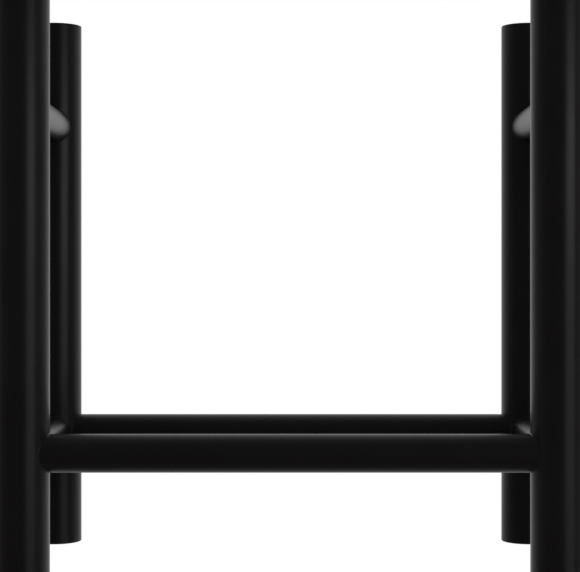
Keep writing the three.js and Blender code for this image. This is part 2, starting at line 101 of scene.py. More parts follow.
# Plain values and links for a node's inputs. A node that is linked gives its first output.
def setInputs(tree, node, inputs):
    for socket, value in inputs.items():
        if isinstance(value, bpy.types.Node):
            value = value.outputs[0]
        if isinstance(value, bpy.types.NodeSocket):
            tree.links.new(value, node.inputs[socket])
        else:
            node.inputs[socket].default_value = value


# One node, with its inputs and its settings
def addNode(tree, kind, inputs=None, **settings):
    node = tree.nodes.new("ShaderNode" + kind)
    for name, value in settings.items():
        setattr(node, name, value)
    setInputs(tree, node, inputs or {})
    return node


finishes = {}  # the material of each slot of the record, and of the floor


# A material whose shader starts from plain values
def newMaterial(slot, name, **values):
    finishes[slot] = bpy.data.materials.new(name)
    finishes[slot].use_nodes = True
    tree = finishes[slot].node_tree
    shader = tree.nodes["Principled BSDF"]
    setInputs(tree, shader, {socket.replace("_", " "): value for socket, value in values.items()})
    return tree, shader, addNode(tree, "TexCoord").outputs["Object"]


# Two shades mixed by one pattern, and relief of a real depth from another
def coat(tree, shader, shades, pattern, relief, depth):
    ends = {"Factor": pattern, 6: linear(shades[0]), 7: linear(shades[1])}
    colour = addNode(tree, "Mix", ends, data_type="RGBA")
    bump = addNode(tree, "Bump", {"Height": relief, "Distance": depth * mm})
    setInputs(tree, shader, {"Base Color": colour.outputs[2], "Normal": bump})


cloudRange = (0.3, 0.7)  # where nearly all of a cloudy pattern lies, out of 0 to 1


# Two cloudy patterns. Patches, spread over their whole range, carry the shade and the gloss, and grain
# is relief. A look gives a patch's size, and the grain's size and depth, in mm.
def dress(tree, shader, look, place):
    size, depth = look["grain"]
    patches, grain = (
        addNode(tree, "TexNoise", {"Vector": place, "Scale": 1 / (lump * mm), "Detail": 2})
        for lump in (look["patch"], size))
    spread = {"Value": patches, "From Min": cloudRange[0], "From Max": cloudRange[1]}
    mixing, gloss = (
        addNode(tree, "MapRange", spread | {"To Min": low, "To Max": high})
        for low, high in ((0, 1), look["roughness"]))
    coat(tree, shader, look["shades"], mixing, grain, depth)
    setInputs(tree, shader, {"Roughness": gloss})


# The place for a turned finish: the distance from the upright's axis and the height, the same all the
# way round, as a lathe leaves it. The left and the right upright mirror each other.
def turned(tree, place):
    axes = addNode(tree, "SeparateXYZ", {0: place})
    side = addNode(tree, "Math", {0: axes}, operation="ABSOLUTE")
    across = addNode(tree, "CombineXYZ", {"X": side, "Y": axes.outputs["Y"]})
    middle = (rightX * mm, frontY * mm, 0)
    radius = addNode(tree, "VectorMath", {0: across, 1: middle}, operation="DISTANCE")
    return addNode(tree, "CombineXYZ", {"X": radius.outputs["Value"], "Z": axes.outputs["Z"]})


drawnOut = 40  # times that the lumps of a drawn finish are taller than wide


# The place for a drawn finish
def drawn(tree, place):
    return addNode(tree, "Mapping", {"Vector": place, "Scale": (1, 1, 1 / drawnOut)})


# A finish with a look of its own, even or with a direction
def addFinish(slot, name, look, direction=None, **values):
    tree, shader, place = newMaterial(slot, name, **values)
    dress(tree, shader, look, direction(tree, place) if direction else place)


# Polyester powder coat on steel, sprayed and baked. A satin black with a faint orange peel where the
# powder flowed, drawn deeper than the real one so that it shows, and a gloss that wanders a little.
addFinish("powder_coat", "powder_coat_satin_black", {
    "shades": ("#0a0607", "#0c0809"), "roughness": (0.285, 0.315),
    "patch": 60, "grain": (2.2, 0.05)}, IOR=1.5)

# ABS, moulded in a spark-eroded tool. A black a little paler and duller than the paint, finely grained.
addFinish("black_plastic", "abs_moulded_black", {
    "shades": ("#121212", "#181818"), "roughness": (0.38, 0.46),
    "patch": 14, "grain": (0.45, 0.016)}, IOR=1.53)

# White ABS of the mark and the numbers, moulded in a polished tool. Clean, slightly warm, satin.
addFinish("white_plastic", "abs_moulded_white", {
    "shades": ("#d3d3cd", "#dcdcd8"), "roughness": (0.34, 0.42),
    "patch": 3, "grain": (0.5, 0.002)}, IOR=1.53)

# Black-oxided steel of the set screws. A thin brown-black skin, polished through in patches.
addFinish("black_steel", "steel_black_oxide", {
    "shades": ("#19191a", "#232322"), "roughness": (0.28, 0.44),
    "patch": 1.6, "grain": (0.3, 0.002)}, Metallic=1)

# Pressed magnesium oxide of the cartridge. A chalky off-white with a sandy grain.
addFinish("ceramic", "magnesium_oxide_pressed", {
    "shades": ("#d0cab9", "#dfdacc"), "roughness": (0.74, 0.86),
    "patch": 6, "grain": (0.6, 0.02)}, IOR=1.6)

# EPDM rubber of the flat seals, cut from pressed sheet. Dull black with a pale bloom in patches.
addFinish("rubber", "epdm_rubber_sheet", {
    "shades": ("#161617", "#222223"), "roughness": (0.67, 0.83),
    "patch": 4, "grain": (0.4, 0.01)}, IOR=1.52)

# PBT case of the relay, moulded smooth. A mid blue with a soft sheen.
addFinish("relay_blue", "pbt_moulded_blue", {
    "shades": ("#243c66", "#2a4470"), "roughness": (0.36, 0.44),
    "patch": 7, "grain": (0.4, 0.003)}, IOR=1.55)

# Silicone sleeve of the heat-proof leads, extruded. Brick red and dull, as if lightly dusted.
addFinish("silicone", "silicone_extruded_red", {
    "shades": ("#aa4029", "#bd4d35"), "roughness": (0.54, 0.66),
    "patch": 5, "grain": (0.3, 0.006)}, IOR=1.41)

# Clear red polycarbonate, moulded. Glossy, and light passes into it and comes back red.
addFinish("red_lens", "polycarbonate_clear_red", {
    "shades": ("#981c15", "#ad241b"), "roughness": (0.09, 0.15),
    "patch": 2, "grain": (0.5, 0.001)}, IOR=1.58, Transmission_Weight=0.25)

# Nickel on turned brass. The lathe's rings still show through the plating.
addFinish("nickel", "nickel_plated_brass_turned", {
    "shades": ("#aea99f", "#c2bdb3"), "roughness": (0.16, 0.28),
    "patch": 1.2, "grain": (0.35, 0.0012)}, turned, Metallic=1)

# Stainless steel, drawn through a die and pickled. Fine lines run along the tube's length.
addFinish("stainless", "stainless_steel_drawn", {
    "shades": ("#8d8e8f", "#a6a7a8"), "roughness": (0.23, 0.37),
    "patch": 0.8, "grain": (0.25, 0.001)}, drawn, Metallic=1)

# Glass-epoxy board under green solder mask. Copper tracks show through as paler lines.
board = {
    "shades": ("#1a5034", "#2a6b47"), "roughness": 0.42,  # mask and tracks
    "pitch": 2.54, "width": 0.6, "height": 0.035,  # mm, of the tracks
    "length": 4, "softness": 0.1}                  # pitches, and share of a track's width


# Its tracks are the joints of a brick pattern, stood upright
def maskedBoard():
    tree, shader, place = newMaterial(
        "board", "glass_epoxy_board_green_mask", Roughness=board["roughness"], IOR=1.55)
    upright = addNode(tree, "Mapping", {"Vector": place, "Rotation": (math.pi / 2, 0, 0)})
    pitch = board["pitch"] * mm
    tracks = addNode(tree, "TexBrick", {
        "Vector": upright, "Scale": 1, "Mortar Size": board["width"] * mm / 2,
        "Mortar Smooth": board["softness"], "Brick Width": board["length"] * pitch,
        "Row Height": pitch}).outputs["Fac"]
    coat(tree, shader, board["shades"], tracks, tracks, board["height"])


maskedBoard()
print("materials made:", len(finishes))


sameWithin = 0.0005  # mm, points this close are one
crease = 35          # degrees between faces that meet in a sharp edge


# Points from three coordinates, each an array or one number for all
def pointsOf(x, y, z):
    return np.stack(np.broadcast_arrays(x, y, z), axis=-1)


# A mesh from points in millimetres. Shared points are merged, so seams and poles are closed.
def makeMesh(name, points, faces):
    mesh = bpy.data.meshes.new(name)
    mesh.from_pydata((np.asarray(points) * mm).tolist(), [], faces)
    work = bmesh.new()
    work.from_mesh(mesh)
    bmesh.ops.remove_doubles(work, verts=work.verts, dist=sameWithin * mm)
    bmesh.ops.recalc_face_normals(work, faces=work.faces)
    work.to_mesh(mesh)
    work.free()
    return mesh


# An object that holds a mesh, a lamp or a camera
def newObject(name, data):
    holder = bpy.data.objects.new(name, data)
    bpy.context.scene.collection.objects.link(holder)
    return holder


# Smooth shading between the creases
def shade(mesh):
    mesh.shade_smooth()
    mesh.set_sharp_from_angle(angle=math.radians(crease))


# A piece is named after the CAD node that it stands for: wallCup.upper.left for wall_cup_upper_left
def nodeOf(name):
    return "".join("_" + c.lower() if c.isupper() else c for c in name.replace(".", "_"))


# A piece of the object, in the finish of its node. One that stands for no node has a slot and a body.
def addPiece(name, points, faces, node=None, slot=None, body=None):
    node = node or nodeOf(name)
    mesh = makeMesh(name, points, faces)
    shade(mesh)
    mesh.materials.append(finishes[slot or slotOf[node]])
    piece = newObject(name, mesh)
    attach(piece, body or bodyOf[node])
    if not slot:
        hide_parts(node)
    return piece


# Cuts closed meshes out of a piece, and gives it the result as its own mesh
def cutHoles(piece, *meshes):
    cutters = [newObject("cutter", mesh) for mesh in meshes]
    for cutter in cutters:
        hole = piece.modifiers.new("hole", "BOOLEAN")
        hole.operation, hole.solver, hole.object = "DIFFERENCE", "MANIFOLD", cutter
    bpy.context.view_layer.update()
    finished = piece.evaluated_get(bpy.context.evaluated_depsgraph_get())
    mesh = bpy.data.meshes.new_from_object(finished)
    mesh.name = piece.name
    piece.modifiers.clear()
    piece.data = mesh
    shade(mesh)
    for cutter in cutters:
        bpy.data.objects.remove(cutter)


# Angles once round, evenly spaced
def evenAngles(count):
    return np.linspace(0, 2 * np.pi, count, endpoint=False)


# The faces of a grid whose rows go round: each point joins its neighbours along the row and in the
# next row. Where the rows close on themselves too, the last joins the first.
def gridFaces(rows, columns, closed=True):
    index = np.arange(rows * columns).reshape(rows, columns)
    nextRow = np.roll(index, -1, axis=0)
    corners = [index, np.roll(index, -1, axis=1), np.roll(nextRow, -1, axis=1), nextRow]
    faces = np.stack(corners, axis=-1)
    return (faces if closed else faces[:-1]).reshape(-1, 4).tolist()


# A polygon of (x, y, corner radius) with each corner replaced by an arc that touches both sides. A
# point beside each end of the arc, a share of the radius away, keeps the flats flat in smooth shading.
def rounded(corners, steps=6, share=0.25):
    points = np.array([corner[:2] for corner in corners], float)
    edges = [np.roll(points, shift, axis=0) - points for shift in (1, -1)]
    before, after = (edge / np.linalg.norm(edge, axis=1)[:, None] for edge in edges)
    outline = []
    for (_, _, radius), point, back, onwards in zip(corners, points, before, after):
        if radius == 0:
            outline.append(point[None])
            continue
        half = math.acos(np.clip(back @ onwards, -1, 1)) / 2
        reach = radius / math.tan(half)
        middle = back + onwards
        centre = point + middle / np.linalg.norm(middle) * radius / math.sin(half)
        sweep = math.pi - 2 * half
        turn = np.linspace(0, 1, steps + 1)[:, None] * sweep
        first, last = point + back * reach - centre, point + onwards * reach - centre
        arc = np.sin(sweep - turn) * first + np.sin(turn) * last
        arc = centre + arc / math.sin(sweep)
        hold = radius * share
        outline += [arc[:1] + back * hold, arc, arc[-1:] + onwards * hold]
    return np.concatenate(outline)


# The four ways from a point of a (radius, level) section
outwards, inwards, upwards, downwards = np.array([(1, 0), (-1, 0), (0, 1), (0, -1)])


# A quarter round as (radius, level) rows: its middle, plus its radius times the cosine of the turn
# one way and the sine the other way
def quarterRound(radius, level, edge, first, second, steps):
    turn = np.linspace(0, np.pi / 2, steps)[:, None]
    return np.array((radius, level)) + edge * (np.cos(turn) * first + np.sin(turn) * second)


# The directions of a shape's own right, back and up, for each way that it can point
pointing = {
    "up": [[1, 0, 0], [0, 1, 0], [0, 0, 1]],
    "down": [[1, 0, 0], [0, -1, 0], [0, 0, -1]],
    "wall": [[1, 0, 0], [0, 0, -1], [0, 1, 0]],
    "room": [[1, 0, 0], [0, 0, 1], [0, -1, 0]],
}


# Points of a grid in their own axes, put in their place
def placed(grid, origin, axes):
    return np.array(origin) + grid.reshape(-1, 3) @ np.array(axes)


# Rows of (radius, level) round an axis. At angle a a point stands radius sin(a) to the right, radius
# cos(a) to the front, and level up. A radius may differ from angle to angle. Rows that start on the
# axis end there; other rows close on themselves.
def lofted(rows, angles, origin, way):
    radius, level = (
        np.array([np.broadcast_to(row[i], angles.shape) for row in rows], float) for i in (0, 1))
    grid = pointsOf(radius * np.sin(angles), -radius * np.cos(angles), level)
    faces = gridFaces(*radius.shape, closed=bool(radius[0].any()))
    return placed(grid, origin, pointing[way]), faces


# A piece made of such rows
def addLofted(name, rows, angles, origin, way, node=None):
    return addPiece(name, *lofted(rows, angles, origin, way), node)


# A piece turned on a lathe: a rounded polygon, the same at every angle
def addTurned(name, corners, count, origin, way, node=None):
    return addLofted(name, rounded(corners), evenAngles(count), origin, way, node)


# A plain rod to cut a hole with
def drill(radius, low, high, origin, way, count):
    rows = [(0, low), (radius, low), (radius, high), (0, high)]
    return makeMesh("drill", *lofted(rows, evenAngles(count), origin, way))


# A block between two corners, to cut a slot with
def slotCutter(low, high):
    share = np.array([[i & 1, i >> 1 & 1, i >> 2] for i in range(8)])
    faces = [[0, 2, 3, 1], [4, 5, 7, 6], [0, 1, 5, 4], [2, 6, 7, 3], [0, 4, 6, 2], [1, 3, 7, 5]]
    return makeMesh("slot", np.array(low) + share * (np.array(high) - np.array(low)), faces)


# From the middle of an even polygon to its edge at each angle: half the width across the flats, over
# the cosine of the angle from the nearest flat. A corner stands at angle 0.
def polygon(count, acrossFlats, angles):
    step = 2 * np.pi / count
    return acrossFlats / 2 / np.cos(angles % step - step / 2)


# A bar of any outline with a chamfer at one or both ends: near an end the outline is cut back by a
# flat cone, of a slope in degrees, that starts a little inside the flats
def chamferedBar(outline, low, high, bottom=True, start=0.96, slope=30, steps=6):
    rise = math.tan(math.radians(slope))
    first = start * outline.min()
    heights = np.linspace(0, (outline.max() - first) * rise, steps)
    chamfer = [(np.minimum(outline, first + height / rise), height) for height in heights]
    lower = [(width, low + height) for width, height in chamfer] if bottom else [(outline, low)]
    return lower + [(width, high - height) for width, height in chamfer[::-1]]


tubing = {
    "sides": 160, "railSides": 128,  # steps round an upright or a post, and round a rung or a spacer
    "wall": 2.0, "railWall": 1.8,    # mm
    "plate": 3.0, "plateEdge": 0.5,  # mm, thickness of the welded end plates, and radius of their rims
    "spigotDepth": 6.0, "bushDepth": 14.0,
    "slip": 0.2,                     # mm between a spigot and its bore
    "ventBore": 5.0, "footBore": 10.7,  # mm, radii of the two threaded holes
    "weld": 1.1,                     # mm, radius of the weld round a spacer or a stud
    "rungWeld": 0.6,                 # mm, the same round a rung, whose welds are ground flatter
    "weldSteps": 12,
    "feather": 0.6, "featherDepth": 0.03,  # mm that a weld's edge runs on, just under the surface
}


# A straight tube, open at both ends, that runs to the plates which close it
def addTube(name, node, bottomPlate, topPlate):
    x, y, radius, _, _ = verticalTube(node)
    bottom = boxOf(bottomPlate)[0][2] + tubing["plate"]
    top = boxOf(topPlate)[1][2] - tubing["plate"]
    bore = radius - tubing["wall"]
    corners = [(bore, bottom, 0), (radius, bottom, 0), (radius, top, 0), (bore, top, 0)]
    addTurned(name, corners, tubing["sides"], (x, y, 0), "up", node)


# An end plate: flush with the tube, rounded at its rim, with a spigot inside the tube.
# Level 0 is the tube's end and the plate points away from it.
def addEndPlate(name, node, way, bore=0, spigot=tubing["spigotDepth"]):
    x, y, radius, low, high = verticalTube(node)
    plate, edge = tubing["plate"], tubing["plateEdge"]
    inside = radius - tubing["wall"] - tubing["slip"]
    corners = [
        (bore, -spigot, 0), (inside, -spigot, 0), (inside, 0, 0), (radius, 0, 0),
        (radius, plate, edge), (bore, plate, edge if bore else 0)]
    level = high - plate if way == "up" else low + plate
    addTurned(name, corners, tubing["sides"], (x, y, level), way, node)


for side in sides:
    upright, cap, bush = f"upright_{side}", f"upright_cap_{side}", f"end_bush_{side}"
    post, upper, lower = f"rear_post_{side}", f"post_cap_upper_{side}", f"post_cap_lower_{side}"
    addTube(f"uprightTube.{side}", upright, bush, cap)
    addTube(f"rearPost.{side}", post, lower, upper)
    addEndPlate(f"uprightCap.{side}", cap, "up", tubing["ventBore"] if side == "left" else 0)
    addEndPlate(f"uprightBush.{side}", bush, "down", tubing["footBore"], tubing["bushDepth"])
    addEndPlate(f"postCapUpper.{side}", upper, "up")
    addEndPlate(f"postCapLower.{side}", lower, "down")
print("uprights and posts built")


# The weld where a tube meets a thicker trunk square, as rows from trunk to tube. At each angle round
# the tube a ball rests on both: its centre is tube + ball from the tube's axis and trunk + ball from
# the trunk's, and the weld is the ball's arc between the two contacts. Before it a row feathers out
# under the trunk's surface. x runs out along the tube from the trunk's axis, and z along the trunk.
def weldRows(tube, trunk, angles, ball):
    across, along = (tube + ball) * np.sin(angles), (tube + ball) * np.cos(angles)
    out = np.sqrt((trunk + ball) ** 2 - across ** 2)
    centre, toTube = pointsOf(out, across, along), -ring(1, 0, angles)
    toTrunk = -pointsOf(out, across, 0) / (trunk + ball)
    sweep = np.arccos((toTube * toTrunk).sum(axis=-1))[:, None]
    share = np.linspace(0, 1, tubing["weldSteps"] + 1)[:, None, None]
    arc = (np.sin((1 - share) * sweep) * toTrunk + np.sin(share * sweep) * toTube) / np.sin(sweep)
    onwards = (toTube - np.cos(sweep) * toTrunk) / np.sin(sweep)
    feather = centre + ball * toTrunk - tubing["feather"] * onwards
    flat = feather[:, :2]
    feather[:, :2] = flat / np.linalg.norm(flat, axis=-1)[:, None] * (trunk - tubing["featherDepth"])
    return np.concatenate([feather[None], centre + ball * arc])


# A ring of one radius round the tube's axis
def ring(radius, out, angles):
    return pointsOf(out, radius * np.sin(angles), radius * np.cos(angles))


# The same rows from the other trunk, which stands span away
def fromFarEnd(rows, span):
    return pointsOf(span - rows[..., 0], rows[..., 1], rows[..., 2])[::-1]


# A piece whose rows run out along a tube's axis from a trunk
def addWelded(name, rows, origin, axes, closed):
    grid = np.concatenate(rows)
    addPiece(name, placed(grid, origin, axes), gridFaces(*grid.shape[:2], closed))


# A tube welded between two trunks: weld, straight, weld, and back through the bore
def addRail(name, x, y, axes, span, ball):
    node = nodeOf(name)
    low, high = boxOf(node)
    tube = (high[2] - low[2]) / 2
    angles = evenAngles(tubing["railSides"])
    weld = weldRows(tube, trunkRadius, angles, ball)
    inside = tube - tubing["railWall"]
    out = np.sqrt(trunkRadius ** 2 - (inside * np.sin(angles)) ** 2)  # cut to the trunk's round
    bore = ring(inside, out, angles)[None]
    rows = [weld, fromFarEnd(weld, span), fromFarEnd(bore, span), bore]
    addWelded(name, rows, (x, y, levelOf(node)), axes, closed=True)


alongRung, towardsWall = np.eye(3), [[0, 1, 0], [-1, 0, 0], [0, 0, 1]]
rungs = {"rung.lower": frontY, "rung.middle": frontY, "rung.upper": frontY, "rearRung": rearY}

for name, y in rungs.items():
    addRail(name, leftX, y, alongRung, rightX - leftX, tubing["rungWeld"])
for place, (x, _) in brackets.items():
    addRail(f"spacer.{place}", x, frontY, towardsWall, rearY - frontY, tubing["weld"])
print("rungs and spacers built")


bracket = {
    "sides": 64, "grubSides": 48,
    "cup": 12.0, "screwHole": 2.75, "screwHead": 5.5, "stud": 7.0, "grub": 2.5,  # mm, radii
    "cupLength": 20.0, "cupBase": 4.0,
    "cupEdge": 0.7, "mouthEdge": 0.3, "studEdge": 0.6, "grubEdge": 0.35,
    "slip": 0.2, "grubSlip": 0.1,
    "studGap": 0.3,     # mm left between the stud and the cup's base
    "studRoot": 1.0,    # mm that the stud starts inside the post
    "grubPlace": 13.0,  # mm from the wall
    "grubSocket": 2.5,  # mm across its flats, and deep
}


# A cup on the wall, countersunk from inside for its screw, with a hole below for the grub screw
def addWallCup(name, x, z):
    cup, length, base, edge = pick(bracket, "cup cupLength cupBase cupEdge")
    hole, head, grub, slip = pick(bracket, "screwHole screwHead grub grubSlip")
    bore = bracket["stud"] + bracket["slip"]
    corners = [
        (hole, 0, 0), (cup, 0, edge), (cup, length, edge), (bore, length, bracket["mouthEdge"]),
        (bore, base, 0), (head, base, 0), (hole, base - head + hole, 0)]
    piece = addTurned(name, corners, 2 * bracket["sides"], (x, 0, z), "room")
    place = (x, -bracket["grubPlace"], z)
    cutHoles(piece, drill(grub + slip, 0, 2 * cup, place, "down", bracket["sides"]))


# The solid stud that runs from the post, where it is welded, back into the cup
def addStud(name, x, z):
    stud, edge = bracket["stud"], bracket["studEdge"]
    end = -rearY - bracket["cupBase"] - bracket["studGap"]
    angles = evenAngles(bracket["sides"])
    root = ring(0, trunkRadius - bracket["studRoot"], angles)
    weld = weldRows(stud, trunkRadius, angles, tubing["weld"])
    rim = [*quarterRound(stud - edge, end - edge, edge, outwards, upwards, steps=6), (0, end)]
    tip = [ring(radius, out, angles) for radius, out in rim]
    addWelded(name, [root[None], weld, tip], (x, rearY, z), towardsWall, closed=False)


# A set screw that points down, with a hexagon socket that ends in the drill's point, a sixth as deep.
# Level 0 is the cup's axis.
def addGrubScrew(name, x, z):
    low, high = boxOf(nodeOf(name))
    inner, outer = z - high[2], z - low[2]
    radius, edge, socket = pick(bracket, "grub grubEdge grubSocket")
    angles = evenAngles(bracket["grubSides"])
    hexagon = polygon(6, socket, angles)
    rows = [
        (0, inner), (radius - edge, inner), (radius, inner + edge), (radius, outer - edge),
        (radius - edge, outer), (hexagon, outer), (hexagon, outer - socket),
        (0, outer - socket - socket / 6)]
    addLofted(name, rows, angles, (x, -bracket["grubPlace"], z), "down")


for place, (x, z) in brackets.items():
    addWallCup(f"wallCup.{place}", x, z)
    addStud(f"bracketStud.{place}", x, z)
    addGrubScrew(f"grubScrew.{place}", x, z)
print("brackets built")


sealing = {
    "sides": 96,
    "ventWidth": 2.3, "footWidth": 3.2,  # mm
    "edges": (0.2, 0.4),                 # mm, radii that the die leaves inside and outside
}


# A flat ring of a stated width, cut with a die. Level 0 is the tube end that it lies on.
def addSeal(name, width, level, way):
    x, y, outer, low, high = verticalTube(nodeOf(name))
    inner, near = outer - width, abs((low if way == "up" else high) - level)
    far = near + high - low
    small, large = sealing["edges"]
    corners = [(inner, near, small), (outer, near, large), (outer, far, large), (inner, far, small)]
    addTurned(name, corners, sealing["sides"], (x, y, level), way)


addSeal("ventSeal", sealing["ventWidth"], capLevel, "up")
for name in ("plugSeal", "elementSeal"):
    addSeal(name, sealing["footWidth"], footLevel, "down")


vent = {
    "sides": 96, "outletSides": 32,
    "thread": 4.865, "flange": 8.0, "screw": 2.5, "passage": 1.5, "outlet": 0.9,  # mm, radii
    "reach": 8.0, "flangeBottom": 1.7, "flangeTop": 5.7,  # mm below and above the cap
    "seat": -2.0, "screwEnd": -1.9, "squareBottom": 5.8, "squareTop": 9.8,
    "edge": 0.6, "seatEdge": 0.2, "mouthEdge": 0.3, "screwFit": 0.1,
    "square": 4.5, "squareEdge": 0.2,  # mm across its flats, and off its corners
}
ventPlace = (leftX, frontY, capLevel)


# The vent's body: threaded into the cap, with a side outlet towards the wall. Level 0 is the cap's top.
def addVentBody():
    thread, reach, flange, low, high = pick(vent, "thread reach flange flangeBottom flangeTop")
    edge, passage, seat = pick(vent, "edge passage seat")
    bore = vent["screw"] + vent["screwFit"]
    corners = [
        (passage, -reach, 0), (thread, -reach, edge), (thread, low, 0), (flange, low, vent["seatEdge"]),
        (flange, high, edge), (bore, high, vent["mouthEdge"]), (bore, seat, 0), (passage, seat, 0)]
    piece = addTurned("ventBody", corners, vent["sides"], ventPlace, "up")
    middle = (leftX, frontY, capLevel + (low + high) / 2)
    cutHoles(piece, drill(vent["outlet"], 0, 2 * flange, middle, "wall", vent["outletSides"]))


# The vent's screw: a round shank that the square for the key grows out of
def addVentScrew():
    angles = evenAngles(vent["sides"])
    shank, edge, end, low, high = pick(vent, "screw edge screwEnd squareBottom squareTop")
    square = polygon(4, vent["square"], angles + np.pi / 4)
    square = np.minimum(square, square.max() - vent["squareEdge"])
    bar = chamferedBar(square, low, high, bottom=False)
    rows = [(0, end), (shank - edge, end), (shank, end + edge), (shank, low), *bar, (0, high)]
    addLofted("ventScrew", rows, angles, ventPlace, "up")


addVentBody()
addVentScrew()
print("air vent built")


plug = {
    "sides": 96,
    "flange": 13.88, "thread": 10.478,  # mm, radii
    "flangeBottom": -5.7, "flangeTop": -1.7, "reach": 10.0,
    "edge": 0.8, "seatEdge": 0.2, "threadEdge": 0.8, "socketEdge": 0.5,
    "socket": 12.0, "socketDepth": 8.0,  # mm across its flats, and deep
    "socketPoint": 1.5,                  # mm, left by the drill
}


# The blanking plug of the left foot, with a hexagon socket from below. Level 0 is the foot.
def addPlug():
    angles = evenAngles(plug["sides"])
    low, high, flange, edge, seatEdge = pick(plug, "flangeBottom flangeTop flange edge seatEdge")
    thread, threadEdge, reach, ease = pick(plug, "thread threadEdge reach socketEdge")
    hexagon = polygon(6, plug["socket"], angles)
    bottom = low + plug["socketDepth"]
    rows = [
        (0, bottom + plug["socketPoint"]), (hexagon, bottom), (hexagon, low + ease),
        (hexagon + ease, low),
        *quarterRound(flange - edge, low + edge, edge, downwards, outwards, steps=7),
        (flange, high - seatEdge), (flange - seatEdge, high), (thread, high),
        (thread, reach - threadEdge), (thread - threadEdge, reach), (0, reach)]
    addLofted("blankingPlug", rows, angles, (leftX, frontY, footLevel), "up")


addPlug()


element = {
    "sides": 96, "boreSides": 64,
    "hexagon": 27.0,  # mm across its flats
    "thread": 10.478, "spigot": 10.25, "groove": 9.15,  # mm, radii
    "spigotBottom": -18.7, "grooveBottom": -12.6, "grooveTop": -11.3,
    "hexBottom": -8.7, "hexTop": -1.7, "reach": 12.0,
    "edge": 0.8, "spigotEdge": 0.4,
    "bores": (5.7, 2.2), "boresBeside": (-2.55, 6.05),  # mm, of the cartridge and the sensor's pocket
}


# The element's brass boss: thread, hexagon, and a grooved spigot that carries the control head
def addElementBoss():
    angles = evenAngles(element["sides"])
    low, high, foot, spigot, ease = pick(element, "hexBottom hexTop spigotBottom spigot spigotEdge")
    groove, grooveLow, grooveHigh = pick(element, "groove grooveBottom grooveTop")
    thread, edge, reach = pick(element, "thread edge reach")
    hexagon = polygon(6, element["hexagon"], angles)
    rows = [
        (0, foot), (spigot - ease, foot), (spigot, foot + ease), (spigot, grooveLow),
        (groove, grooveLow), (groove, grooveHigh), (spigot, grooveHigh), (spigot, low),
        *chamferedBar(hexagon, low, high),
        (thread, high), (thread, reach - edge), (thread - edge, reach), (0, reach)]
    piece = addLofted("elementBoss", rows, angles, (rightX, frontY, footLevel), "up")
    places = [(rightX + beside, frontY, footLevel) for beside in element["boresBeside"]]
    cutHoles(piece, *(
        drill(bore, 2 * foot, 2 * reach, place, "up", element["boreSides"])
        for bore, place in zip(element["bores"], places)))


addElementBoss()
print("foot fittings built")


head = {
    "sides": 192,
    "radius": 23.0, "wall": 2.2,
    "neck": 10.45,    # mm, radius of the hole for the element's spigot
    "bottom": -67.0, "lid": -8.8, "lidThickness": 2.5,    # mm from the foot
    "shoulder": 1.8, "corner": 0.8, "rim": 0.3,           # mm, radii between wall and lid, and of rims
    "buttonLevel": -44.2, "lensLevel": -31.2, "glandLevel": -42.2,
    "buttonHole": 6.2, "lensHole": 2.2, "glandHole": 6.2,  # mm, radii
    "buttonSides": 96, "lensSides": 48, "glandSides": 96,
    "mark": (1.6, 5.0, 1.2),  # mm, width, height and depth of the inlaid mark
    "markBottom": -65.8, "markFit": 0.2, "markEdge": 0.12,
    "markSteps": 10,          # along each of its sides
}


# A place on the head's axis at a level below the foot
def onHead(level):
    return rightX, frontY, footLevel + level


# Points measured right, up and out towards the room from such a place
def onFront(points, level):
    return placed(points, onHead(level), pointing["room"])


# The control housing: a can, open below, that hangs from the element's neck
def addHousing():
    radius, wall, lid, bottom, neck, rim = pick(head, "radius wall lid bottom neck rim")
    bore, under = radius - wall, lid - head["lidThickness"]
    corners = [
        (bore, bottom, 0), (radius, bottom, rim), (radius, lid, head["shoulder"]), (neck, lid, rim),
        (neck, under, 0), (bore, under, head["corner"])]
    piece = addTurned("controlHousing", corners, head["sides"], onHead(0), "up")
    holes = [
        drill(head[hole + "Hole"], bore / 2, 2 * radius, onHead(head[hole + "Level"]), way,
              head[hole + "Sides"])
        for hole, way in (("button", "room"), ("lens", "room"), ("gland", "wall"))]
    width, height, depth = head["mark"]
    fit, front, low = head["markFit"], frontY - radius, footLevel + head["markBottom"]
    slot = slotCutter(
        (rightX - width / 2 - fit, front - depth, low - fit),
        (rightX + width / 2 + fit, front + depth + fit, low + height + fit))
    cutHoles(piece, *holes, slot)


# The white mark let into the housing's rim: a rectangle, met at each angle at the nearer of its two
# pairs of sides. Its face follows the housing's round, at the root of the radius squared less the
# distance to the side squared.
def addIndexMark():
    width, height, depth = head["mark"]
    radius, ease = head["radius"], head["markEdge"]
    corner = math.atan2(width, height)
    stops = [corner, np.pi - corner, np.pi + corner, 2 * np.pi - corner, 2 * np.pi + corner]
    angles = np.concatenate([
        np.linspace(start, stop, head["markSteps"], endpoint=False)
        for start, stop in zip(stops[:-1], stops[1:])])
    outline = np.minimum(width / 2 / abs(np.sin(angles)), height / 2 / abs(np.cos(angles)))
    rows = [(0, radius - depth), (outline, radius - depth)]
    for inset, drop in quarterRound(-ease, -ease, ease, outwards, upwards, steps=4):
        size = outline + inset
        rows.append((size, np.sqrt(radius ** 2 - (size * np.sin(angles)) ** 2) + drop))
    rows.append((0, radius))
    addLofted("indexMark", rows, angles, onHead(head["markBottom"] + height / 2), "room")


button = {
    "sides": 96, "dishRows": 14,
    "radius": 6.0, "dishRadius": 4.6, "flange": 7.75, "stem": 1.5,
    "face": 24.6, "flangeFront": 19.0, "flangeBack": 17.4, "stemEnd": 16.4,  # mm from the head's axis
    "edge": 0.6, "dish": 0.25,
}


# Level of the button's face: it sinks with the square of one minus the distance squared, which meets
# the rim flat
def faceLevel(distance):
    share = np.clip(distance / button["dishRadius"], 0, 1)
    return button["face"] - button["dish"] * (1 - share ** 2) ** 2


